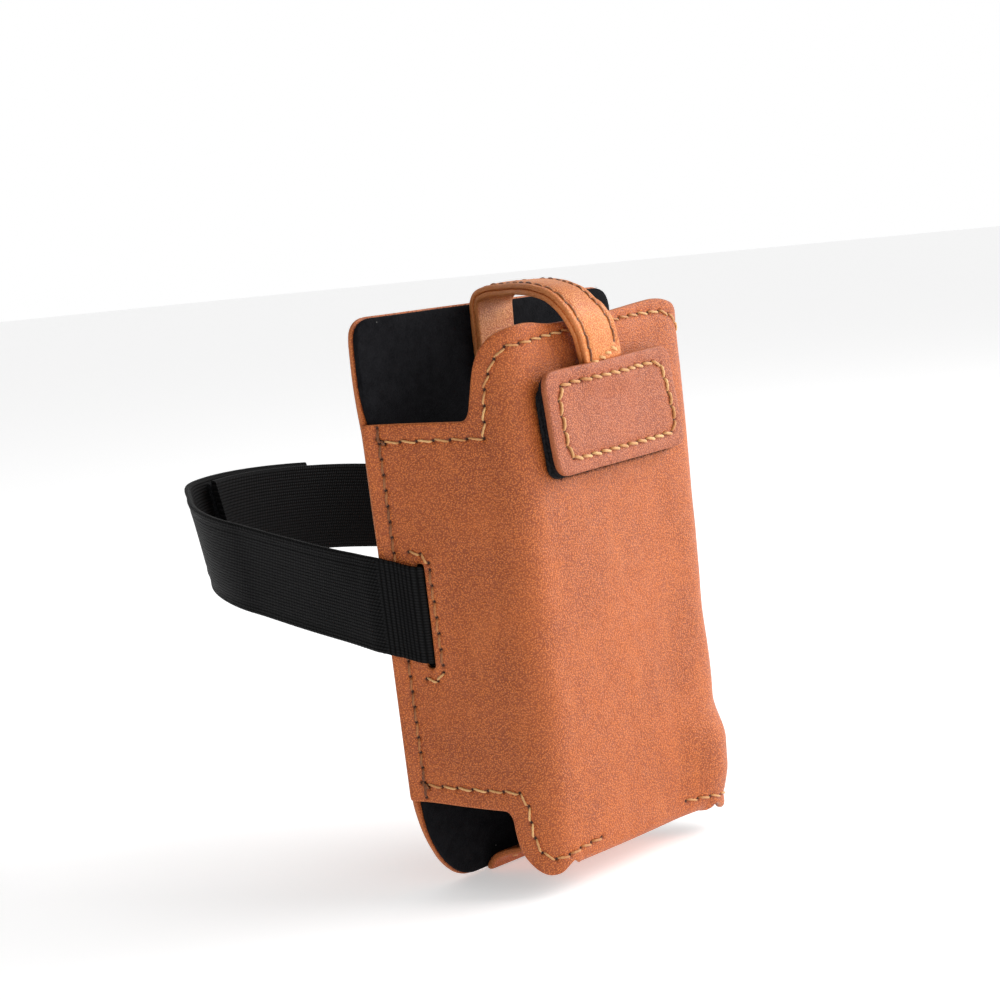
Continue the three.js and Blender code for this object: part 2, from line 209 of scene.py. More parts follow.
def smoothstep(x, low, high):
    t = np.clip((np.asarray(x, float) - low) / (high - low), 0, 1)
    return t * t * (3 - 2 * t)


# ---- front sheet's placement
def half_section():
    """The sheet in plan from its left edge, whose sewn margin bends back over the panel's edge."""
    fold = np.array([-FOLD_X, FLANGE_FRONT])
    back = np.array([-0.643, 0.766])
    corner = np.array([-CORNER_X, FACE_FRONT + CORNER_RADIUS + 0.8])
    slope = (corner - fold) / np.linalg.norm(corner - fold)
    fold_end = fold + 4 * slope
    face = np.array([-27, FACE_FRONT + 0.5])
    return np.vstack([
        [fold + MARGIN * back],
        bezier([fold + 1.4 * back, fold, fold_end]),
        bezier([fold_end, (fold_end + corner) / 2 - [0.9, 0], corner]),
        bezier([corner, [-CORNER_X + 1.4, FACE_FRONT + 4.2], [-CORNER_X + 4.4, FACE_FRONT + 0.8], face]),
        bezier([face, [-20, FACE_FRONT + 0.05], [-10, FACE_FRONT - 0.1], [0, FACE_FRONT - 0.15]]),
    ])


HALF = half_section()
SECTION = Curve(np.vstack([HALF, (HALF * [-1, 1])[::-1][1:]]), 0.25, 12)
LENGTH = SECTION.length
MIDDLE = LENGTH / 2


def travel_at(value, axis):
    """Travel to where the section's left half has that x (axis 0) or y (axis 1)."""
    half = SECTION.travel <= MIDDLE
    column = SECTION.points[half, axis]
    order = np.argsort(column)
    return float(np.interp(value, column[order], SECTION.travel[half][order]))


def side(y):
    return travel_at(y, 1)


def face(x):
    return travel_at(x, 0)


SLOT = side(SLOT_Y)


FLAP = Curve(np.vstack([
    [[0, 0], [0, 1.0]],
    bezier([[0, 1.0], [0, 4.4], [3.6, 4.5]]),
    spline([[3.6, 4.5], [12, 4.9], [22, 5.6], [28.0, 6.6]], 0.5),
    bezier([[28.0, 6.6], [31.8, 7.3], [32.1, 10.2]]),
]), 0.2, 6)
FLAP_END = FOLD_START - FLAP.length


def lean(points):
    depth = (FACE_FRONT + CORNER_RADIUS - points[..., 1]) / (FACE_FRONT + CORNER_RADIUS - FLANGE_FRONT)
    points[..., 0] *= 1 + EDGE_LEAN * points[..., 2] * np.clip(depth, 0, 1)
    return points


def over_band_end(inner, v):
    """1 where the leather lies over the band's sewn end, just inside the slot."""
    across = smoothstep(inner, SLOT - 0.6, SLOT + 1.4) * (1 - smoothstep(inner, SLOT + 2.8, SLOT + 6))
    below_top = 1 - smoothstep(v, SLOT_TOP - 1, SLOT_TOP + 5)
    return across * smoothstep(v, SLOT_BOTTOM - 5, SLOT_BOTTOM + 1) * below_top


def bulge(u, v):
    """How far the leather stands out: it is crowned, a little uneven, and lies over the band's ends."""
    inner = np.minimum(u, LENGTH - u)
    crown = 0.35 * np.clip(1 - (v / 66) ** 2, 0, 1) * smoothstep(inner, 12, 40)
    uneven = (0.16 * ripple(u, v, 46) + 0.05 * ripple(u, v, 17, 1)) * smoothstep(inner, 2, 14)
    over_band = over_band_end(inner, v)
    mouth = -0.7 * smoothstep(v, 56, 66) * np.cos((u - MIDDLE) / 17.0) * smoothstep(inner, 36, 44)
    wing = 0.35 * (1 - smoothstep(inner, 0, 7)) * ripple(u * 0, v, 60, 2)
    pushed = 1.25 + smoothstep(-v, 10, 36) + 2.6 * smoothstep(-v, 38, 50) * (1 - 0.7 * smoothstep(-v, 56, 66))
    pushed = pushed * smoothstep(u - MIDDLE, 14, 30) * (1 - smoothstep(u - MIDDLE, 38, 55))
    return crown + uneven + 0.85 * over_band + mouth + wing + pushed


def on_sheet(u, v, depth):
    """A point on the front sheet; below the fold the sheet turns in under the transmitter."""
    u, v, depth = (np.asarray(a, float) for a in np.broadcast_arrays(u, v, depth))
    plan, normal = SECTION.at(u)
    start = FOLD_START - 3.6 * smoothstep(np.abs(plan[..., 0]), 24.5, 29.5)
    under, _ = FLAP.at(np.maximum(start - v, 0))
    inward, drop = under[..., 0], under[..., 1]
    straight = v > start
    turn = turned(start - v)
    out, down = np.cos(turn), np.sin(turn)
    off = bulge(u, v) * (1 - smoothstep(start - v, 0, 6)) - depth
    x = plan[..., 0] + normal[..., 0] * (off * out - inward)
    y = plan[..., 1] + normal[..., 1] * (off * out - inward)
    z = np.where(straight, v, start - drop) - off * down
    return lean(np.stack([x, y, z], axis=-1))


def turned(below):
    """Angle that the flap has turned through after that length below the fold's start."""
    below = np.maximum(below, 0)
    along = FLAP.read(FLAP.along, below)
    return np.arctan2(along[..., 0], along[..., 1])


# ---- flat outlines
def rounded(corners):
    """Dense points round corners (u, v, radius); a corner without a radius bends softly."""
    points = [np.array(c[:2], float) for c in corners]
    made = []
    for i, (here, corner) in enumerate(zip(points, corners)):
        before, after = points[i - 1] - here, points[(i + 1) % len(points)] - here
        reach = min(np.linalg.norm(before), np.linalg.norm(after)) / 2
        radius = min(corner[2], reach) if len(corner) > 2 else reach
        start = here + before / np.linalg.norm(before) * radius
        end = here + after / np.linalg.norm(after) * radius
        made.append(bezier([start, here, end], 8))
    return np.vstack(made)


def signed_area(loop):
    x, y = loop.T
    return 0.5 * np.sum(x * np.roll(y, -1) - y * np.roll(x, -1))


def inset(loop, amount):
    """Moves a loop sideways into the material, which lies on its left."""
    along = unit(np.roll(loop, -1, axis=0) - np.roll(loop, 1, axis=0))
    return loop + np.stack([-along[:, 1], along[:, 0]], axis=1) * amount


def inside(points, loops):
    """Which points the loops enclose, counting a hole's loop as outside."""
    found = np.zeros(len(points), bool)
    for loop in loops:
        a, b = loop, np.roll(loop, -1, axis=0)
        for block in range(0, len(points), 4000):
            p = points[block:block + 4000, None, :]
            spans = (a[:, 1] > p[..., 1]) != (b[:, 1] > p[..., 1])
            rise = np.where(b[:, 1] == a[:, 1], 1e-12, b[:, 1] - a[:, 1])
            cross = a[:, 0] + (p[..., 1] - a[:, 1]) / rise * (b[:, 0] - a[:, 0])
            found[block:block + 4000] ^= (np.sum(spans & (p[..., 0] < cross), axis=1) % 2).astype(bool)
    return found


def nearest(points, marks):
    """Distance from each point to the nearest mark."""
    if len(marks) == 0:
        return np.full(len(points), 1e3)
    best = np.empty(len(points))
    for block in range(0, len(points), 2000):
        gap = points[block:block + 2000, None, :] - marks[None]
        best[block:block + 2000] = np.sqrt(np.min(np.sum(gap * gap, axis=2), axis=1))
    return best


# ---- meshes
def add_object(name, data):
    obj = bpy.data.objects.new(name, data)
    bpy.context.scene.collection.objects.link(obj)
    return obj


def make_object(name, points, faces, attributes, material):
    """An object from millimetre points, with float or vector point attributes."""
    mesh = bpy.data.meshes.new(name)
    mesh.from_pydata((np.asarray(points) * MM).tolist(), [], faces)
    for key, values in attributes.items():
        kind = "FLOAT_VECTOR" if values.ndim == 2 else "FLOAT"
        field = "vector" if values.ndim == 2 else "value"
        mesh.attributes.new(key, kind, "POINT").data.foreach_set(field, values.astype(np.float32).ravel())
    mesh.polygons.foreach_set("use_smooth", [True] * len(mesh.polygons))
    mesh.materials.append(material)
    return add_object(name, mesh)


def face_outwards(obj):
    bm = bmesh.new()
    bm.from_mesh(obj.data)
    bmesh.ops.recalc_face_normals(bm, faces=bm.faces)
    bm.to_mesh(obj.data)
    bm.free()
    return obj


class Stitching:
    """Needle holes along seams, and the marks that they press into a sheet."""

    def __init__(self, seams, pitch=STITCH):
        self.rows = [resample(seam, pitch) for seam in seams]
        self.holes = np.vstack(self.rows)
        self.line = np.vstack([resample(row, 0.45) for row in self.rows])

    def press(self, points, channel=0.2, hole=0.6):
        """How deep the thread pulls the surface in, and the painted shade in its holes and along its channel.
        """
        line, near = nearest(points, self.line), nearest(points, self.holes)
        pit = np.exp(-(near / 0.5) ** 2)
        # Painted shade: dark in the needle holes, and lighter along the channel between them.
        dark = np.maximum(pit, 0.42 * np.exp(-(line / 0.42) ** 2))
        return channel * np.exp(-(line / 0.95) ** 2) + hole * pit, dark

    def extra_points(self):
        rings = [self.holes]
        for radius, count in ((0.4, 6), (0.85, 8)):
            turn = np.linspace(0, 2 * math.pi, count, endpoint=False)
            offsets = np.stack([np.cos(turn), np.sin(turn)], axis=1) * radius
            rings.append((self.holes[:, None] + offsets[None]).reshape(-1, 2))
        return np.vstack(rings)


def flat_points(loops, spacing, stitching):
    """Triangular grid inside the loops, finer round the needle holes."""
    low, high = loops[0].min(0), loops[0].max(0)
    rows = np.arange(low[1], high[1], spacing * 0.866)
    columns = np.arange(low[0], high[0], spacing)
    grid = np.array([(u + (i % 2) * spacing / 2, v) for i, v in enumerate(rows) for u in columns])
    if stitching:
        grid = grid[nearest(grid, stitching.holes) > 1.15]
        grid = np.vstack([grid, stitching.extra_points()])
    grid = grid[inside(grid, loops)]
    rim = np.vstack([resample(loop, spacing / 2, True) for loop in loops])
    return grid[nearest(grid, rim) > spacing * 0.55]


def triangles_of(points, loops):
    """Triangles between the points, inside the loops, which come first in the points."""
    edges, start = [], 0
    for loop in loops:
        n = len(loop)
        edges += [(start + i, start + (i + 1) % n) for i in range(n)]
        start += n
    made = delaunay_2d_cdt([Vector(p) for p in points], edges, [], 0, 1e-6)
    source = [ids[0] if ids else -1 for ids in made[3]]
    triangles = np.array([[source[k] for k in f] for f in made[2]])
    triangles = triangles[(triangles >= 0).all(axis=1)]
    centre = points[triangles].mean(axis=1)
    triangles = triangles[inside(centre, loops)]
    a, b, c = (points[triangles[:, k]] for k in range(3))
    turn = (b[:, 0] - a[:, 0]) * (c[:, 1] - a[:, 1]) - (b[:, 1] - a[:, 1]) * (c[:, 0] - a[:, 0])
    triangles[turn < 0] = triangles[turn < 0][:, ::-1]
    return triangles


RIM = ((0.3, 0.3), (0.0, 1.0))


def sheet_piece(name, outline, place, thickness, material, spacing=1.0, holes=(), stitching=None,
                edge_radius=0.5):
    """A closed sheet with rounded cut edges, made flat and then placed."""
    loops = []
    for k, loop in enumerate([outline, *holes]):
        loop = resample(loop, spacing * (0.8 if k == 0 else 0.6), True)
        loops.append(loop if (signed_area(loop) > 0) == (k == 0) else loop[::-1])
    inner = [inset(loop, edge_radius) for loop in loops]
    grid = flat_points(inner, spacing, stitching)
    flat = np.vstack([*inner, grid])
    triangles = triangles_of(flat, inner)
    n = len(flat)
    pressed, pit = stitching.press(flat) if stitching else (np.zeros(n), np.zeros(n))

    u_v, depth = [flat, flat], [pressed, np.full(n, thickness)]
    # The second list holds the painted shade of the needle holes, weaker on the back face.
    edge, painted_hole_shade = [np.zeros(n)] * 2, [pit, pit * 0.6]
    faces = [tuple(t) for t in triangles] + [tuple(t[::-1] + n) for t in triangles]
    made, first = 2 * n, 0
    for loop in loops:
        m = len(loop)
        rings = [np.arange(first, first + m)]
        profile = [(a * edge_radius, b * edge_radius) for a, b in RIM]
        profile += [(a, thickness - b) for a, b in profile[::-1]]
        for sideways, down in profile:
            u_v.append(inset(loop, sideways))
            depth.append(np.full(m, down))
            edge.append(np.full(m, 1.0 if sideways == 0 else 0.7))
            painted_hole_shade.append(np.zeros(m))
            rings.append(np.arange(made, made + m))
            made += m
        rings.append(np.arange(first, first + m) + n)
        for a, b in zip(rings, rings[1:]):
            faces += [(a[i], b[i], b[(i + 1) % m], a[(i + 1) % m]) for i in range(m)]
        first += m
    u_v, depth = np.vstack(u_v), np.concatenate(depth)
    points = place(u_v[:, 0], u_v[:, 1], depth)
    attributes = {
        "flat": np.column_stack([u_v, depth]), "edge": np.concatenate(edge), "pit": np.concatenate(painted_hole_shade)}
    faces = [tuple(int(i) for i in f) for f in faces]
    return face_outwards(make_object(name, points, faces, attributes, material))


def strip_piece(name, place, ends, width, thickness, material, step=0.8, across=0.8, edge_radius=0.5,
                relief=None, pit=None, rib=None):
    """A closed strip along u, whose end faces don't soften the shading of its ends."""
    half, r = width / 2, edge_radius
    face_row = np.linspace(-half + r, half - r, max(4, int(width / across)))
    turn = np.linspace(0, math.pi / 2, 4)[1:]
    corner = np.stack([half - r + r * np.sin(turn), r - r * np.cos(turn)], axis=1)
    front = [(v, 0.0) for v in face_row] + [tuple(c) for c in corner]
    right = front[len(face_row):]
    loop = front + [(v, thickness - d) for v, d in right[::-1]] + [(v, thickness) for v in face_row[::-1]]
    loop += [(-v, thickness - d) for v, d in right] + [(-v, d) for v, d in right[::-1]]
    loop = np.array(loop)
    rows = np.linspace(ends[0], ends[1], max(3, int(abs(ends[1] - ends[0]) / step) + 1))
    n, m = len(rows), len(loop)
    u = np.repeat(rows, m)
    v, depth = np.tile(loop[:, 0], n), np.tile(loop[:, 1], n)
    if relief is not None:
        depth = depth - relief(u, v) * (depth < thickness * 0.3)
    points = place(u, v, depth)
    faces = [(i * m + k, i * m + (k + 1) % m, (i + 1) * m + (k + 1) % m, (i + 1) * m + k)
             for i in range(n - 1) for k in range(m)]
    faces += [tuple(range(m))[::-1], tuple(range((n - 1) * m, n * m))]
    attributes = {"flat": np.column_stack([u, v, depth]), "edge": smoothstep(np.abs(v), half - r, half)}
    # The pit attribute carries painted shade in the needle holes and stitch channels.
    attributes["pit"] = pit(u, v) * (depth < thickness * 0.5) if pit is not None else np.zeros(n * m)
    attributes["rib"] = rib(u) if rib is not None else np.ones(n * m)
    obj = face_outwards(make_object(name, points, faces, attributes, material))
    caps = {tuple(sorted((first + k, first + (k + 1) % m))) for first in (0, (n - 1) * m) for k in range(m)}
    for e in obj.data.edges:
        e.use_edge_sharp = tuple(sorted(e.vertices)) in caps
    return obj


def ring_faces(first, rings, sides):
    """Faces between the rings of a tube whose points start at first."""
    return [(a + j, a + sides + j, a + sides + (j + 1) % sides, a + (j + 1) % sides)
            for a in range(first, first + (rings - 1) * sides, sides) for j in range(sides)]


def stitches_piece(name, stitching, place, material, radius=THREAD, lift=0.04, slant=0.34):
    """Two-ply thread: each stitch leans across the seam and dips into a hole at both ends."""
    dip, sides, rings = 0.85, 10, 11
    t = np.linspace(0, 1, rings)
    centres, k = [], 0
    for row in stitching.rows:
        for a, b in zip(row, row[1:]):
            along = (b - a) / max(np.linalg.norm(b - a), 1e-9)
            across = np.array([-along[1], along[0]]) * slant * (1 + 0.25 * math.sin(k * 2.4))
            gap = (b - a) * 0.07
            start, end = a + across + gap, b - across - gap
            centres.append(start + (end - start) * t[:, None])
            k += 1
    flat = np.array(centres)
    count = len(flat)
    jitter = 0.05 * np.sin(np.arange(count) * 1.9)[:, None]
    height = lift + jitter - (lift + dip) * np.abs(2 * t - 1) ** 5
    middle = place(flat[..., 0], flat[..., 1], -height)
    above = place(flat[..., 0], flat[..., 1], -height - 0.2) - middle
    forward = unit(np.gradient(middle, axis=1))
    sideways = unit(np.cross(forward, above))
    up = np.cross(sideways, forward)
    angle = np.linspace(0, 2 * math.pi, sides, endpoint=False)
    ply = 1 + 0.16 * np.cos(2 * (angle[None] - t[:, None] * 9.0))
    taper = np.clip(1.12 - np.abs(2 * t - 1) ** 8 * 0.5, 0.5, 1)[:, None]
    size = radius * ply * taper
    points = (middle[:, :, None] + sideways[:, :, None] * (size * np.cos(angle))[None, :, :, None]
              + up[:, :, None] * (size * np.sin(angle))[None, :, :, None])
    faces = []
    for k in range(count):
        first = k * rings * sides
        faces += ring_faces(first, rings, sides)
        faces.append(tuple(range(first, first + sides)))
        last = first + (rings - 1) * sides
        faces.append(tuple(range(last, last + sides))[::-1])
    u_v = np.repeat(flat.reshape(-1, 2), sides, axis=0)
    spin = np.tile(angle, count * rings)
    attributes = {"flat": np.column_stack([u_v, spin])}
    return face_outwards(make_object(name, points.reshape(-1, 3), faces, attributes, material))


# ---- materials
def srgb(r, g, b):
    def linear(c):
        c /= 255
        return c / 12.92 if c <= 0.04045 else ((c + 0.055) / 1.055) ** 2.4
    return (linear(r), linear(g), linear(b), 1.0)


class Nodes:
    """A small wrapper that adds nodes to a tree and links them to their inputs."""

    def __init__(self, tree):
        self.tree = tree

    def link(self, value, socket):
        if isinstance(value, bpy.types.NodeSocket):
            self.tree.links.new(value, socket)
        else:
            socket.default_value = value

    def node(self, kind, settings=(), out=0, **inputs):
        """A node whose inputs are given by name."""
        made = self.tree.nodes.new("ShaderNode" + kind)
        for key, value in dict(settings).items():
            setattr(made, key, value)
        for key, value in inputs.items():
            self.link(value, made.inputs[key.replace("_", " ")])
        return made.outputs[out]

    def inline(self, kind, values, settings=(), sockets=None, out=0):
        """A node whose inputs are given in the order of its sockets."""
        made = self.tree.nodes.new("ShaderNode" + kind)
        for key, value in dict(settings).items():
            setattr(made, key, value)
        for value, k in zip(values, sockets or range(len(values))):
            self.link(value, made.inputs[k])
        return made.outputs[out]

    def math(self, operation, a, b=0.0):
        return self.inline("Math", (a, b), {"operation": operation})

    def times(self, a, b):
        return self.math("MULTIPLY", a, b)

    def plus(self, a, b):
        return self.math("ADD", a, b)

    def wave(self, value):
        """The size of a sine, with one hump for each step of pi."""
        return self.math("ABSOLUTE", self.math("SINE", value))

    def mix(self, factor, a, b):
        return self.inline("Mix", (factor, a, b), {"data_type": "RGBA"}, (0, 6, 7), 2)

    def ramp(self, value, low, high, to_low=0.0, to_high=1.0):
        smooth = {"interpolation_type": "SMOOTHSTEP"}
        return self.inline("MapRange", (value, low, high, to_low, to_high), smooth)

    def scaled(self, vector, *factors):
        return self.inline("VectorMath", (vector, factors), {"operation": "MULTIPLY"})

    def read(self, attribute, out=2):
        return self.node("Attribute", {"attribute_type": "GEOMETRY", "attribute_name": attribute}, out)

    def noise(self, vector, size, detail=3.0, roughness=0.55, distortion=0.0):
        return self.node("TexNoise", {}, 0, Vector=vector, Scale=1.0 / size, Detail=detail,
                         Roughness=roughness, Distortion=distortion)

    def cells(self, vector, size):
        return self.node("TexVoronoi", Vector=vector, Scale=1.0 / size)

    def bump(self, height, distance, strength=1.0, normal=None):
        made = self.tree.nodes.new("ShaderNodeBump")
        made.inputs["Strength"].default_value = strength
        made.inputs["Distance"].default_value = distance
        self.link(height, made.inputs["Height"])
        if normal is not None:
            self.link(normal, made.inputs["Normal"])
        return made.outputs[0]


class Material(Nodes):
    def __init__(self, name, **principled):
        self.data = bpy.data.materials.new(name)
        self.data.use_nodes = True
        super().__init__(self.data.node_tree)
        self.shader = next(n for n in self.tree.nodes if n.type == "BSDF_PRINCIPLED")
        for key, value in principled.items():
            self.shader.inputs[key.replace("_", " ")].default_value = value

    def finish(self, color=None, roughness=None, normal=None):
        for value, key in ((color, "Base Color"), (roughness, "Roughness"), (normal, "Normal")):
            if value is not None:
                self.link(value, self.shader.inputs[key])
        return self.data


def leather(name, deep, middle, light, edge_colour, grain_size=0.4, nap=1.0):
    """Oiled nubuck: a fine pebbled grain, light on its tops and dark between them, under soft clouding."""
    m = Material(name, Sheen_Weight=0.04, Sheen_Roughness=0.4, Sheen_Tint=srgb(255, 190, 150),
                 Specular_IOR_Level=0.5)
    flat = m.read("flat", 1)
    bend = m.node("TexNoise", {}, 1, Vector=flat, Scale=1.1, Detail=2.0)
    wander = m.inline("VectorMath", (bend, (0.3, 0.3, 0.3), flat), {"operation": "MULTIPLY_ADD"})
    tops = m.math("SUBTRACT", 1.0, m.cells(wander, grain_size))
    specks = m.noise(flat, 0.26, 2.0, 0.6)
    grain = m.plus(tops, m.times(specks, 0.35))
    dark = m.mix(m.ramp(m.noise(flat, 24.0, 4.0, 0.6, 0.4), 0.35, 0.68), deep, middle)
    color = m.mix(m.ramp(grain, 0.5, 1.12), dark, light)
    smear = m.noise(m.scaled(flat, 1.0, 0.35, 1.0), 8.0, 5.0, 0.62, 0.3)
    color = m.mix(m.ramp(smear, 0.5, 0.8, 0.0, 0.3), color, light)
    fibres = m.noise(m.scaled(flat, 1.0, 1.0, 3.0), 0.35, 3.0, 0.65)
    raw = m.mix(m.ramp(fibres, 0.35, 0.7), edge_colour, deep)
    edge = m.ramp(m.read("edge"), 0.35, 0.9)
    color = m.mix(m.times(edge, 0.8), color, raw)
    # Painted shade in the needle holes and along the stitch channels, read from the pit attribute.
    color = m.mix(m.ramp(m.read("pit"), 0.2, 0.75, 0.0, 0.95), color, srgb(30, 11, 5))
    rough = m.ramp(m.noise(flat, 3.5, 3.0), 0.3, 0.7, 0.38 + 0.05 * nap, 0.48 + 0.08 * nap)
    height = m.plus(grain, m.times(m.noise(flat, 2.4, 3.0, 0.6), 0.7))
    normal = m.bump(height, 0.00016 * nap, 1.0)
    normal = m.bump(m.times(fibres, edge), 0.00018, 0.8, normal)
    return m.finish(color, rough, normal)


def felt(name):
    m = Material(name, Roughness=0.95, Sheen_Weight=0.1, Sheen_Roughness=0.4,
                 Sheen_Tint=(0.30, 0.30, 0.34, 1.0), Specular_IOR_Level=0.06)
    flat = m.read("flat", 1)
    fluff = m.plus(m.noise(flat, 0.55, 4.0, 0.7, 1.2), m.times(m.noise(flat, 2.5, 3.0), 0.7))
    color = m.mix(m.ramp(fluff, 0.5, 1.2), (0.004, 0.004, 0.005, 1.0), (0.013, 0.013, 0.015, 1.0))
    speck = m.cells(m.scaled(flat, 1.0, 1.0, 0.2), 3.4)
    some = m.ramp(m.noise(flat, 3.0, 1.0), 0.55, 0.6)
    shown = m.times(m.math("SUBTRACT", 1.0, m.ramp(speck, 0.045, 0.07)), some)
    color = m.mix(m.times(shown, 0.5), color, (0.34, 0.33, 0.31, 1.0))
    return m.finish(color, None, m.bump(fluff, 0.00030, 0.9))


def elastic(name):
    """Woven elastic: fine rows of little loops along its length, and crosswise ribs where it is sewn."""
    m = Material(name, Roughness=0.55, Specular_IOR_Level=0.07)
    flat = m.read("flat", 1)
    u, v = (m.inline("SeparateXYZ", (flat,), out=k) for k in (0, 1))
    row = m.math("DIVIDE", v, 0.82)
    odd = m.math("MODULO", m.math("FLOOR", m.plus(row, 100.0)), 2.0)
    across = m.wave(m.times(row, math.pi))
    along = m.plus(m.math("DIVIDE", u, 0.62), m.times(odd, 0.5))
    slope = m.times(m.math("FRACT", row), 0.55)
    loop = m.wave(m.times(m.plus(along, slope), math.pi))
    weave = m.times(m.math("POWER", across, 0.6), m.plus(m.times(loop, 0.6), 0.4))
    near = m.math("SUBTRACT", 1.0, m.ramp(m.read("rib"), 0.35, 0.65))
    bead = m.wave(m.times(v, math.pi / 0.7))
    line = m.wave(m.times(u, math.pi / 1.05))
    ribs = m.times(m.math("POWER", line, 0.7), m.plus(m.times(bead, 0.5), 0.5))
    fuzz = m.noise(flat, 0.4, 3.0, 0.7)
    height = m.mix(near, weave, ribs)
    height = m.plus(height, m.times(fuzz, 0.35))
    patches = m.noise(flat, 6.0, 3.0)
    color = m.mix(m.ramp(height, 0.35, 1.25), (0.001, 0.001, 0.001, 1.0), (0.014, 0.014, 0.0145, 1.0))
    color = m.mix(m.ramp(patches, 0.45, 0.75, 0.0, 0.35), color, (0.006, 0.006, 0.007, 1.0))
    return m.finish(color, None, m.bump(height, 0.00032, 1.0))


def thread(name, dark=srgb(186, 118, 58), light=srgb(250, 205, 138)):
    m = Material(name, Roughness=0.5, Sheen_Weight=0.2, Specular_IOR_Level=0.4)
    flat = m.read("flat", 1)
    strands = m.noise(m.scaled(flat, 1.0, 1.0, 0.6), 0.3, 3.0, 0.6)
    color = m.mix(m.ramp(m.noise(flat, 9.0, 2.0), 0.3, 0.7, 0.1, 0.9), dark, light)
    color = m.mix(m.ramp(strands, 0.35, 0.7, 0.0, 0.6), color, dark)
    return m.finish(color, None, m.bump(strands, 0.00008, 0.8))


def pile(name):
    """Hook-and-loop tape: a rough black surface of tiny loops."""
    m = Material(name, Roughness=0.9, Sheen_Weight=0.06, Sheen_Roughness=0.4,
                 Sheen_Tint=(0.35, 0.35, 0.38, 1.0), Specular_IOR_Level=0.1)
    flat = m.read("flat", 1)
    loops = m.cells(m.scaled(flat, 1.0, 1.0, 1.6), 0.62)
    fuzz = m.noise(flat, 0.3, 3.0, 0.7, 0.8)
    height = m.plus(loops, m.times(fuzz, 0.6))
    color = m.mix(m.ramp(height, 0.3, 1.1), (0.003, 0.003, 0.004, 1.0), (0.022, 0.022, 0.024, 1.0))
    return m.finish(color, None, m.bump(height, 0.0004, 1.0))


TAN = leather("tan_leather", srgb(148, 66, 18), srgb(166, 78, 24), srgb(226, 126, 56), srgb(220, 130, 66))
PATCH_TAN = leather(
    "patch_leather", srgb(140, 64, 30), srgb(160, 78, 42), srgb(214, 126, 80), srgb(206, 122, 74))
STRAP_TAN = leather(
    "strap_leather", srgb(190, 96, 40), srgb(212, 118, 50), srgb(244, 168, 98), srgb(226, 146, 84), nap=0.7)
FELT_BLACK = felt("black_felt")
ELASTIC = elastic("black_elastic")
PILE = pile("hook_and_loop")
GOLD = thread("gold_thread")
# Painted shade: a darker copy of the gold thread, for the wing seams and the strap's edge seams.
SHADED_GOLD = thread("shaded_thread", srgb(92, 44, 18), srgb(206, 132, 70))


def fringe(name, outline, place, depths, material, count, length, seed, keep=None):
    """Loose fibres that stand out from a sheet's cut edge."""
    chance = np.random.default_rng(seed)
    loop = outline if signed_area(outline) > 0 else outline[::-1]
    loop = resample(loop, 0.5, True)
    outward = loop - inset(loop, 1.0)
    pick = chance.integers(0, len(loop), count)
    if keep is not None:
        pick = pick[keep(loop[pick])]
    count = len(pick)
    reach = length * chance.uniform(0.3, 1.0, (count, 1))
    start = loop[pick] - 0.3 * outward[pick]
    tangent = np.column_stack([outward[pick, 1], -outward[pick, 0]]) * chance.normal(0, 0.6, (count, 1))
    depth = chance.uniform(*depths, count)
    lift = chance.normal(0, 0.35, count)
    t = np.linspace(0, 1, 4)
    flat = start[:, None] + (outward[pick] * (reach + 0.3))[:, None] * t[None, :, None]
    flat = flat + (tangent * reach)[:, None] * (t ** 2)[None, :, None]
    middle = place(flat[..., 0], flat[..., 1], depth[:, None] + (lift * reach[:, 0])[:, None] * t[None] ** 2)
    thick = 0.05 * (1 - 0.75 * t)[None, :, None]
    corners = []
    for turn in (0, 2.1, 4.2):
        aside = np.array([math.cos(turn), 0.4 * math.sin(turn), math.sin(turn)])
        corners.append(middle + aside * thick)
    points = np.stack(corners, axis=2).reshape(-1, 3)
    faces = []
    for k in range(count):
        faces += ring_faces(k * 12, 4, 3)
        faces += [tuple(k * 12 + j for j in (2, 1, 0)), tuple(k * 12 + 9 + j for j in (0, 1, 2))]
    u_v = np.repeat(flat.reshape(-1, 2), 3, axis=0)
    return make_object(name, points, faces, {"flat": np.column_stack([u_v, u_v[:, 0] * 0])}, material)


# ---- front sheet
def mirrored(points):
    return [(LENGTH - p[0], *p[1:]) for p in points[::-1]]


def along(line, *places):
    """Points on the sheet whose u is where its section has that y (line is side) or x (line is face)."""
    return [(line(place), *rest) for place, *rest in places]


def front_outline():
    """The front's cut edge. Its points are listed, apart from the mouth's top and the flap's end."""
    mouth_left = [(MIDDLE, MOUTH_TOP - 1.6)]
    mouth_left += along(face, (-19.3, MOUTH_TOP - 2.2), (-27.2, 62.3))
    mouth_left += along(side, (-34.5, 61.7), (-31.0, 60.1), (-28.1, 56.9), (-26.6, 53.2))
    mouth_right = mirrored(along(face, (-23.0, 63.7), (-28.2, 62.6), (-31.6, 60.4))
                           + along(side, (-32.6, 56.4), (-29.6, 51.4), (-26.6, 46.6)))
    left = along(side, (-25.6, 47.6), (-24.8, 42.6, 1.2), (-23.8, 40.7, 1.4))
    left += [(13, 41.2), (0, 41.6, 0.9), (0, -49.7, 0.9), (12, -50.9)]
    left += along(side, (-24.9, -52.2, 1.5), (-25.9, -54.0, 1.5), (-26.2, -57.8), (-27.0, -61.9),
                  (-29.0, -64.9), (-31.1, -67.0), (-33.2, -68.2), (-35.2, -67.8))
    left += along(face, (-29.6, -66.3), (-27.6, -65.2, 0.5), (-26.2, -66.6), (-22.5, -71.0), (-19.6, -77.0),
                  (-18.6, -86.0), (-19.6, -91.0), (-24.0, FLAP_END + 3.4), (-25.5, FLAP_END, 1.2))
    return rounded(mouth_left + left + mirrored(left)[:-1] + mouth_right)


def slot_loop(u):
    half, r = SLOT_HALF_WIDTH, 0.9
    return rounded([(u - half, SLOT_BOTTOM, r), (u + half, SLOT_BOTTOM, r), (u + half, SLOT_TOP, r),
                    (u - half, SLOT_TOP, r)])


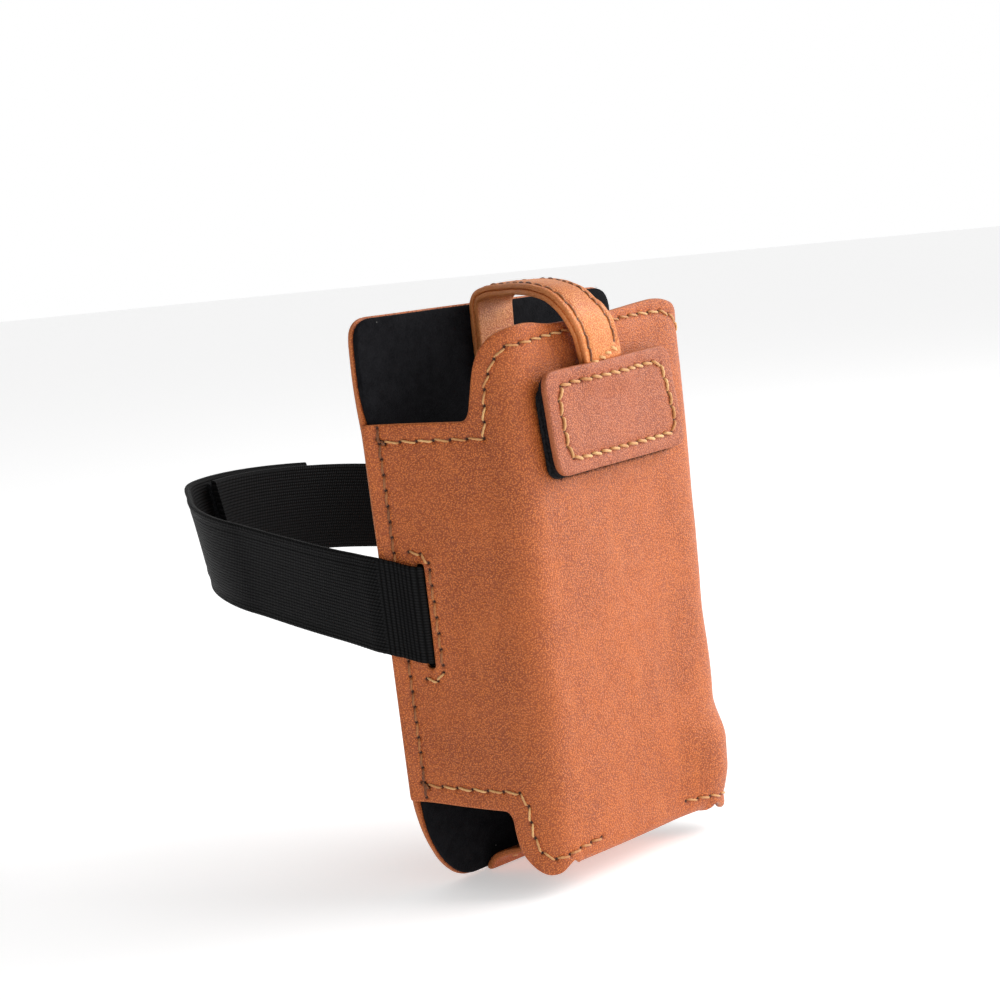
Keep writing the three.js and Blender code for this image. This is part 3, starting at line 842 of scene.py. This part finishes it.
WING_SEAM = [[SEAM_INSET - 0.4, 40.8], [SEAM_INSET - 0.3, 37.0], [SEAM_INSET, -45.2], [SEAM_INSET, -49.0]]
MOUTH_SEAM = [[SEAM_INSET + 0.5, 37.2], [side(-27.6), 36.5]]
LEFT_SHOULDER_SEAM = spline(
    along(side, (-27.6, 36.5), (-28.3, 43.0), (-29.0, 48.4), (-30.6, 52.6), (-32.4, 55.8))
    + along(face, (-33.2, 57.2), (-29, 57.7), (-22.4, 58.4)) + [(MIDDLE, 59.7)], 0.5)
RIGHT_SHOULDER_SEAM = spline([(MIDDLE, 59.7)] + mirrored(
    along(side, (-27.6, 36.5), (-29.4, 44.0), (-32.0, 50.6), (-34.6, 55.2))
    + along(face, (-29, 58.2), (-25, 60.0), (-19, 60.3))), 0.5)
FOOT_SEAM = [[SEAM_INSET + 0.5, -45.9], [side(-28.0), -47.7]]
EAR_SEAM = spline(
    along(side, (-28.0, -47.7), (-29.6, -49.6), (-30.0, -54), (-31.0, -60), (-32.6, -63.3), (-35.0, -64.2))
    + along(face, (-28.6, -63.6), (-24, -62.9), (-17.5, -62.5)), 0.5)
BRACKET_COLUMN = [[SLOT + 2.5, 6.6], [SLOT + 3.1, -16.4]]
BRACKET_ENDS = [
    spline([(SLOT - 2.6, 10.9), (SLOT + 0.6, 10.2), (SLOT + 2.4, 8.2)], 0.5),
    spline([(SLOT + 2.9, -18.2), (SLOT + 1.6, -20.2), (SLOT - 2.0, -19.8)], 0.5)]


def both_sides(seams):
    return [np.array(s, float) for s in seams] + [np.array(s, float) * [-1, 1] + [LENGTH, 0] for s in seams]


def end_to_end(stitchings):
    """One set of marks out of several."""
    whole = Stitching.__new__(Stitching)
    whole.rows = [row for s in stitchings for row in s.rows]
    whole.holes = np.vstack([s.holes for s in stitchings])
    whole.line = np.vstack([s.line for s in stitchings])
    return whole


bright_seams = Stitching(
    both_sides([MOUTH_SEAM, FOOT_SEAM, EAR_SEAM, *BRACKET_ENDS]) + [LEFT_SHOULDER_SEAM, RIGHT_SHOULDER_SEAM])
# Short stitches where the seams meet the wing seam; their holes lie close together and give a dark blob of
# painted shade.
KNOTS = [[[SEAM_INSET - 0.7, z + 0.8], [SEAM_INSET + 0.9, z - 0.5]] for z in (37.3, -46.0)]
shaded_seams = Stitching(both_sides([WING_SEAM, BRACKET_COLUMN, *KNOTS]))
sheet_seams = end_to_end([bright_seams, shaded_seams])

front = sheet_piece("front_leather", front_outline(), on_sheet, FRONT_LEATHER, TAN, spacing=0.95,
                    holes=[slot_loop(SLOT), slot_loop(LENGTH - SLOT)], stitching=sheet_seams)
stand_in(front, "tan_leather", "pouch", "front_sheet")

bright = stitches_piece("front_stitches", bright_seams, on_sheet, GOLD)
stand_in(bright, "gold_thread", "pouch", "mouth_thread", "left_foot_thread",
         "right_foot_thread", "left_slot_thread", "right_slot_thread")
# The wing stitches take the darker copy of the gold thread, a painted shade.
shaded = stitches_piece("wing_stitches", shaded_seams, on_sheet, SHADED_GOLD, radius=0.3, lift=-0.08, slant=0.2)
stand_in(shaded, "gold_thread", "pouch", "left_wing_thread", "right_wing_thread")


# ---- linings
def in_front_lining(u, v, depth):
    inner = np.minimum(u, LENGTH - u)
    return on_sheet(u, v, depth + 1.75 + 1.5 * over_band_end(inner, v))


def lining_outline():
    left = along(face, (-20, 59.6))
    left += along(side, (-35.0, 58.8), (-32.4, 56.0), (-29.8, 50.0), (-28.2, 45.0), (-27.6, 39.6, 1.5))
    left += [(13, 39.2), (4.6, 39.4, 1.0), (4.6, -47.6, 1.0), (13, -48.8)]
    left += along(side, (-27.2, -50.2, 1.5), (-28.4, -57.0), (-30.4, -61.6), (-34.0, -63.6))
    left += along(face, (-24, -61.8))
    return rounded(left + mirrored(left))


front_felt = sheet_piece("front_felt", lining_outline(), in_front_lining, FRONT_FELT, FELT_BLACK, 1.8,
                         edge_radius=0.35)
stand_in(front_felt, "black_felt", "pouch", "front_lining")


def panel_edge(z):
    """The panel's half width: drawn in where the wings are sewn over it, wider above and below."""
    return 46.8 + 0.052 * z - 0.5 * behind_wing(z)


def behind_wing(z):
    return smoothstep(z, -56, -49) * (1 - smoothstep(z, 40, 47))


def panel_outline(shrink=0.0):
    right = [(29.4 - shrink * 0.4, PANEL_LOW[2] + shrink, 5), (36.2 - shrink * 0.7, -67.6 + shrink * 0.7),
             (41.6 - shrink, -59.0)]
    for z in (-51, -46, -36, -20, 0, 20, 34, 40, 44, 49, 54):
        right.append((panel_edge(z) - shrink * (1 + 3.5 * behind_wing(z)), z))
    right.append((panel_edge(60) - shrink, PANEL_HIGH[2] - shrink, 9))
    return rounded(right + [(-x, *rest) for x, *rest in right[::-1]])


def on_panel(u, v, depth):
    """The back panel from its rear face forwards, a little uneven away from the bell."""
    away = smoothstep(np.abs(u), 26, 44) + smoothstep(np.abs(v), 50, 70)
    y = -depth - 0.25 * away * (1 + ripple(u, v, 38, 3))
    return np.stack([u, y, v], axis=-1)


rear_seams = Stitching([
    *[[(sx * (panel_edge(z) - 1.5), z) for z in np.linspace(-45.5, 37, 12)] for sx in (-1, 1)],
    [(-6.2, 51.6), (-6.2, 62.4), (4.2, 62.4), (4.2, 51.6), (-6.2, 51.6)],
    [(-16.5, -71.0), (16.5, -71.0)]])
panel = sheet_piece("back_leather", panel_outline(), on_panel, PANEL_LEATHER, TAN, spacing=1.3,
                    stitching=rear_seams)
stand_in(panel, "tan_leather", "pouch", "back_panel")
rear = stitches_piece("back_stitches", rear_seams, on_panel, GOLD)
stand_in(rear, "gold_thread", "pouch", "strap_root_thread")


def on_back_felt(u, v, depth):
    return on_panel(u, v, depth + PANEL_LEATHER)


back_felt = sheet_piece("back_felt", panel_outline(0.35), on_back_felt, BACK_FELT, FELT_BLACK, spacing=1.8)
stand_in(back_felt, "black_felt", "pouch", "back_lining")


panel_fuzz = fringe("back_felt_fuzz", panel_outline(0.6), on_back_felt, (0.3, BACK_FELT), FELT_BLACK, 900, 0.9,
                    11, lambda p: (p[:, 1] < -48) | (p[:, 1] > 40))
stand_in(panel_fuzz, "black_felt", "pouch")


# ---- flap's end
flap_seam = Stitching([[(face(-17), FLAP_END + 1.9), (LENGTH - face(-17), FLAP_END + 1.9)]])
flap_stitches = stitches_piece("flap_stitches", flap_seam, on_sheet, GOLD)
stand_in(flap_stitches, "gold_thread", "pouch", "flap_thread")


# ---- closure strap
STRAP_WIDTH = 13.6
STRAP_LAYER = 1.4
STRAP_POINTS = spline([
    (-1.0, -2.9, 50.0), (-1.0, -2.9, 57.0), (-1.0, -2.9, 63.0), (-1.1, -3.2, 66.8), (-1.4, -5.2, 69.4),
    (-2.3, -9.5, 70.9), (-4.2, -17, 71.3), (-6.8, -24, 71.3), (-9.9, -31, 70.5), (-11.3, -37.2, 68.4),
    (-11.3, -41.3, 64.8), (-9.6, -42.9, 60.2), (-7.3, -42.6, 55.0), (-5.9, -42.0, 51.6), (-5.4, -41.2, 49.3),
    (-5.1, -40.6, 46.4)], 0.3)
STRAP_TRAVEL = travel_of(STRAP_POINTS)
STRAP_END = STRAP_TRAVEL[-1]
climb = slice(int(len(STRAP_POINTS) * 0.6))
STRAP_TOP = float(np.interp(24, -STRAP_POINTS[climb, 1], STRAP_TRAVEL[climb]))


def strap_frame():
    """The route's points, with the directions across the strap and away from its inner side."""
    along = unit(np.gradient(STRAP_POINTS, axis=0))
    wide = unit(np.array([1.0, 0, 0]) - along * along[:, :1])
    return STRAP_POINTS, wide, np.cross(along, wide)


STRAP_FRAME = strap_frame()


def on_strap(u, v, depth):
    """Outer face of the strap, which lies against the panel at its root and over the mouth after that."""
    u, v, depth = (np.asarray(a, float) for a in np.broadcast_arrays(u, v, depth))
    middle, wide, out = (read_at(u, STRAP_TRAVEL, rows) for rows in STRAP_FRAME)
    cup = 0.35 * (v / 6.8) ** 2 * smoothstep(u, 18, 26) + 0.12 * ripple(u, v * 0.3, 21, 5)
    width = v * (1 + 0.02 * ripple(u, v * 0, 24, 1))
    return middle + wide * width[..., None] - out * (depth + cup)[..., None]


EDGE_SEAM_V = STRAP_WIDTH / 2 - 1.9
strap_halves = {
    "strap_back": (0.0, STRAP_TOP, ("pouch", "closure_strap"), mm(-7, -4.2, 64.5),
                   mm(-7, -10.0, 71.5)),
    "strap_front": (STRAP_TOP, STRAP_END, ("closure_strap", "patch"), mm(-5.9, -42.1, 52.4),
                    mm(-5.4, -41.4, 49.4)),
}
for half, (start, end, joined, bend_from, bend_to) in strap_halves.items():
    seams = [[(max(start, 1.5), v), (min(end, STRAP_END - 7.4), v)] for v in (-EDGE_SEAM_V, EDGE_SEAM_V)]
    edge_seam = Stitching(seams, 3.6)

    def relief(u, v, marks=edge_seam):
        return -marks.press(np.column_stack([u, v]), 0.24, 0.4)[0]

    # Painted shade in the strap's needle holes and along its stitch channels.
    def painted_hole_shade(u, v, marks=edge_seam):
        return marks.press(np.column_stack([u, v]))[1]

    for layer, near in {"outer": 0.0, "inner": STRAP_LAYER + 0.05}.items():
        stop = end - 6.4 if (half, layer) == ("strap_front", "inner") else end

        def place(u, v, depth, near=near):
            return on_strap(u, v, depth + near)

        piece = strip_piece(f"{half}_{layer}", place, (start, stop), STRAP_WIDTH, STRAP_LAYER, STRAP_TAN,
                            step=0.45, across=0.45, relief=relief if layer == "outer" else None,
                            pit=painted_hole_shade if layer == "outer" else None)
        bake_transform(piece)
        if half == "strap_back":
            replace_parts(piece, "closure_strap_root", f"closure_strap_{layer}")
    # The strap's edge stitches take the darker copy of the gold thread, a painted shade.
    thread_piece = stitches_piece(f"{half}_stitches", edge_seam, on_strap, SHADED_GOLD, lift=-0.1, slant=0.15)
    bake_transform(thread_piece)
    if half == "strap_back":
        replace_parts(thread_piece, "strap_thread")

cross_u = STRAP_END - 6.2
cross_seam = Stitching([[(cross_u, -4.9), (cross_u, 4.9)]], 2.4)
cross = stitches_piece("strap_cross_stitches", cross_seam, on_strap, GOLD, radius=0.36, lift=0.2, slant=0.7)
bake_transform(cross)


# ---- patch and pads
PATCH_FRONT = box_mm("closure_patch")[0][1]
PATCH_CORNERS = [(-26.4, 25.6), (24.6, 27.0), (20.6, 52.3), (-29.4, 50.4)]


def grown(corners, amount, shift=(0, 0)):
    centre = np.mean(corners, axis=0)
    return [tuple(np.array(c) + np.sign(np.array(c) - centre) * amount + shift) for c in corners]


def quad_outline(corners, radius):
    return rounded([(x, z, radius) for x, z in corners])


def on_patch(u, v, depth):
    """The patch is flat on its pad and rises over the strap's end that is sewn under it."""
    over_strap = (1 - smoothstep(np.abs(u + 5.2), 6.2, 12.5)) * smoothstep(v, 42.0, 47.5)
    curl = 0.5 * smoothstep(np.abs(u + 3), 19, 26) * smoothstep(np.abs(v - 38.5), 6, 12)
    y = PATCH_FRONT - 1.05 * over_strap - curl * 0.4 - 0.10 * ripple(u, v, 21, 4) + depth
    return np.stack([u, y, v], axis=-1)


patch_ring = quad_outline([(-22.0, 29.2), (21.6, 30.6), (17.2, 48.6), (-24.4, 47.0)], 3.4)
patch_ring = np.vstack([patch_ring, patch_ring[:1]])
patch_seam = Stitching([patch_ring], 3.6)
patch = sheet_piece("patch_leather", quad_outline(PATCH_CORNERS, 4.2), on_patch, PATCH_LEATHER, PATCH_TAN, 0.8,
                    stitching=patch_seam, edge_radius=0.55)
stand_in(patch, "tan_leather", "patch", "closure_patch")
patch_stitches = stitches_piece("patch_stitches", patch_seam, on_patch, GOLD, radius=0.36, lift=0.14)
stand_in(patch_stitches, "gold_thread", "patch", "patch_thread")


def on_hook(u, v, depth):
    return np.stack([u, PATCH_FRONT + 1.85 + depth + 0.08 * ripple(u, v, 5, 2), v], axis=-1)


HOOK_OUTLINE = quad_outline(grown(PATCH_CORNERS, -0.5, (0.2, -0.8)), 3.8)
hook = sheet_piece("patch_hooks", HOOK_OUTLINE, on_hook, 1.15, PILE, spacing=1.2, edge_radius=0.4)
stand_in(hook, "hook_and_loop", "patch", "closure_hook_pad")


hook_fuzz = fringe("patch_hooks_fuzz", HOOK_OUTLINE, on_hook, (0.1, 1.0), PILE, 800, 0.8, 12)
stand_in(hook_fuzz, "hook_and_loop", "patch")


LOOP_OUTLINE = quad_outline([(-26.1, 24.9), (24.3, 26.3), (20.6, 48.0), (-28.7, 46.8)], 3.8)


def on_loop_pad(u, v, depth):
    return np.stack([u, FACE_FRONT - 1.35 + depth + 0.08 * ripple(u, v, 6, 1), v], axis=-1)


loop_pad = sheet_piece("front_loops", LOOP_OUTLINE, on_loop_pad, 1.0, PILE, spacing=1.2, edge_radius=0.4)
stand_in(loop_pad, "hook_and_loop", "pouch", "closure_loop_pad")


loop_fuzz = fringe("front_loops_fuzz", LOOP_OUTLINE, on_loop_pad, (0.1, 0.9), PILE, 800, 0.8, 13)
stand_in(loop_fuzz, "hook_and_loop", "pouch")


# ---- elastic band
BELL_RADIUS = 43.8
SHORT_RADIUS = BELL_RADIUS + 0.3
LONG_RADIUS = SHORT_RADIUS + 4.2
OVERLAP = (-16, 28)
BAND_FLARE = 0.0023
BAND_THICKNESS = 1.5
BAND_HEIGHT = 23.4


def round_bell(angle, radius):
    """In plan beside the bell: angle 0 is straight behind it, and -90 is its left side."""
    a = np.radians(angle)
    return np.stack([radius * np.sin(a), BELL_RADIUS + radius * np.cos(a)], axis=-1)


def band_path(end, climbs):
    """Inner face of a band in plan, from its sewn end in the slot to its free end round the bell."""
    rows = [(SLOT + 3.2, -2.35), (SLOT + 1.3, -2.3), (SLOT + 0.1, -1.3), (SLOT - 0.7, 0.0), (SLOT - 1.8, 0.3),
            (SLOT - 3.6, 0.3), (MARGIN + 0.6, 0.3), (0.9, 0.35)]
    places = [SECTION.at(s)[0] + SECTION.at(s)[1] * lift for s, lift in rows]
    corner = places[-1]
    places += [corner + [-0.85, 1.6], corner + [-1.1, 3.6]]
    angles = np.arange(-88, end + 0.1, 4.0)
    radii = SHORT_RADIUS + (LONG_RADIUS - SHORT_RADIUS) * smoothstep(angles, -44, OVERLAP[0] - 4) * climbs
    start, arc = np.array(places[-1]), round_bell(angles, radii)
    straight = start + (arc[0] - start) * np.linspace(0.06, 0.97, 9)[:, None]
    straight[:, 0] -= 0.5 * np.sin(np.linspace(0, math.pi, 9))
    return Curve(spline(np.vstack([places, straight, arc]), 0.4), 0.3, 3)


def on_band(path, mirror, out, from_slot):
    """Placement of a strip whose outer face stands that far outside the path.

    The path starts from_slot along the band: a band's sewn end in the slot sits lower than the rest.
    """
    def place(u, v, depth):
        u, v, depth = (np.asarray(a, float) for a in np.broadcast_arrays(u, v, depth))
        plan, normal = path.at(u)
        away = smoothstep(u + from_slot, 6, 26)
        lift = out - depth + away * (0.10 * ripple(u, v, 31, 2) + 0.22 * (v / BAND_HEIGHT * 2) ** 2)
        plan = plan - normal * lift[..., None]
        y = plan[..., 1]
        centre = -0.9 + 0.15 * np.maximum(y, -4) - 2.9 * (1 - smoothstep(u + from_slot, 3, 16))
        on_bell = smoothstep(y, -2, 12)
        scale = 1 + EDGE_LEAN * (centre + v) * (1 - on_bell) + BAND_FLARE * v * on_bell
        y = np.where(y > 0, y * scale, y)
        return np.stack([mirror * plan[..., 0] * scale, y, centre + v], axis=-1)
    return place


def weave(u, v):
    """Crosswise ribs where the band is sewn, and a narrow groove along each edge."""
    ribs = (0.5 + 0.5 * np.cos(u * math.tau / 1.05)) * (1 - smoothstep(u, 12, 16)) * smoothstep(u, 2.5, 4)
    groove = np.exp(-((np.abs(v) - BAND_HEIGHT / 2 + 2.4) / 0.4) ** 2)
    cord = smoothstep(np.abs(v), BAND_HEIGHT / 2 - 1.6, BAND_HEIGHT / 2 - 0.9) * (0.5 + 0.5 * np.sin(u * 5.1))
    return 0.13 * ribs - 0.12 * groove + 0.08 * cord


def ribbed(u):
    return smoothstep(u, 12.5, 16)


left_path = band_path(OVERLAP[1], 1.0)
right_path = band_path(-OVERLAP[0], 0.0)
left_middle = float(np.interp(24.0, left_path.points[:400, 1], left_path.travel[:400]))


def band_strip(name, path, ends, mirror=1, thickness=BAND_THICKNESS, height=BAND_HEIGHT, material=ELASTIC,
               step=0.3, from_slot=0.0):
    place = on_band(path, mirror, thickness, from_slot)
    relief = weave if material is ELASTIC else None
    strip = strip_piece(name, place, ends, height, thickness, material, step=step, across=0.4,
                        edge_radius=thickness * 0.42, relief=relief, rib=ribbed)
    return strip


band_left = band_strip("band_left", left_path, (0, left_middle), step=0.26)
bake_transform(band_left)
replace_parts(band_left, "left_band_end", "left_band")

band_back = band_strip("band_back", left_path, (left_middle, left_path.length))
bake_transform(band_back)
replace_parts(band_back, "back_band")

band_right = band_strip("band_right", right_path, (0, right_path.length), -1, step=0.28)
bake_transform(band_right)
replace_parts(band_right, "right_band_end", "right_band")


TAPE = 1.0
TAPE_HEIGHT = 20.6
PAST_THE_SLOT = BAND_HEIGHT * 2


def pad_path(radius):
    return Curve(round_bell(np.arange(OVERLAP[0] + 2, OVERLAP[1] - 1.9, 2.0), radius), 0.4)


pad_places = {
    "band_loop_pad": (SHORT_RADIUS + BAND_THICKNESS + 0.25, "band_right_length"),
    "band_hook_pad": (LONG_RADIUS - 1.05, "band_back_length"),
}
for node, (radius, body) in pad_places.items():
    path = pad_path(radius)
    pad = band_strip(node.replace("_pad", "s"), path, (0, path.length), 1, TAPE, TAPE_HEIGHT, PILE,
                     0.5, from_slot=PAST_THE_SLOT)
    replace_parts(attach(pad, body), node)


front_outline()
lining_outline()


# ---- light and camera
def from_angles(azimuth, elevation):
    a, e = math.radians(azimuth), math.radians(elevation)
    return Vector((math.sin(a) * math.cos(e), -math.cos(a) * math.cos(e), math.sin(e)))


key_data = bpy.data.lights.new("key", "AREA")
key_data.shape = "RECTANGLE"
key_data.size, key_data.size_y = 1.0, 0.9
key_data.energy = 12.0
key = add_object("key", key_data)
KEY_SIDE = from_angles(47, 30)
key.location = Vector((0, 0, 0.01)) + KEY_SIDE * 1.1
key.rotation_euler = KEY_SIDE.to_track_quat("Z", "Y").to_euler()

world = bpy.data.worlds.new("studio")
world.use_nodes = True
bpy.context.scene.world = world
sky = Nodes(world.node_tree)
background = next(n for n in sky.tree.nodes if n.type == "BACKGROUND")


def studio_shade(toward, low, high, dim):
    """Turns from full to dim round the sky as the direction nears the given one."""
    direction = sky.node("TexCoord")
    near = sky.inline("VectorMath", (direction, toward), {"operation": "DOT_PRODUCT"}, out="Value")
    return sky.ramp(near, low, high, 1.0, dim)


shade = sky.times(studio_shade((0, 0, 1), 0.12, 0.9, 0.5), studio_shade(from_angles(-118, 8), 0.15, 0.9, 0.3))
sky.link(shade, background.inputs[1])
background.inputs[0].default_value = (1.0, 1.0, 1.0, 1.0)

floor_z = min(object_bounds()[0][2], PANEL_LOW[2] * MM) - 0.0004
floor_mesh = bpy.data.meshes.new("floor")
ring = [(8 * math.cos(a), 8 * math.sin(a), floor_z) for a in np.linspace(0, math.tau, 96, endpoint=False)]
floor_mesh.from_pydata(ring, [], [tuple(range(96))])
floor = add_object("floor", floor_mesh)
floor_mesh.materials.append(Material(
    "pale_floor", Base_Color=(0.9, 0.9, 0.9, 1.0), Roughness=0.9, Specular_IOR_Level=0.1,
    Emission_Color=(1.0, 1.0, 1.0, 1.0), Emission_Strength=0.42).data)

CAMERA_AZIMUTH, CAMERA_ELEVATION, CAMERA_ROLL = -50.1, 6.6, -5.5
CAMERA_DISTANCE = 0.5783
CAMERA_TARGET = Vector((-0.005, -0.0046, 0.0174))
camera_data = bpy.data.cameras.new("camera")
camera_data.lens, camera_data.sensor_width, camera_data.sensor_fit = 83.69, 36.0, "HORIZONTAL"
camera_data.clip_start, camera_data.clip_end = 0.01, 50.0
camera = add_object("camera", camera_data)
back = from_angles(CAMERA_AZIMUTH, CAMERA_ELEVATION)
right = Vector((math.cos(math.radians(CAMERA_AZIMUTH)), math.sin(math.radians(CAMERA_AZIMUTH)), 0))
up = back.cross(right)
roll = math.radians(CAMERA_ROLL)
camera_x = right * math.cos(roll) + up * math.sin(roll)
camera_y = up * math.cos(roll) - right * math.sin(roll)
camera.matrix_world = Matrix.Translation(CAMERA_TARGET + back * CAMERA_DISTANCE) @ Matrix(
    (camera_x, camera_y, back)).transposed().to_4x4()
bpy.context.scene.camera = camera
bpy.context.scene.view_settings.view_transform = "Standard"
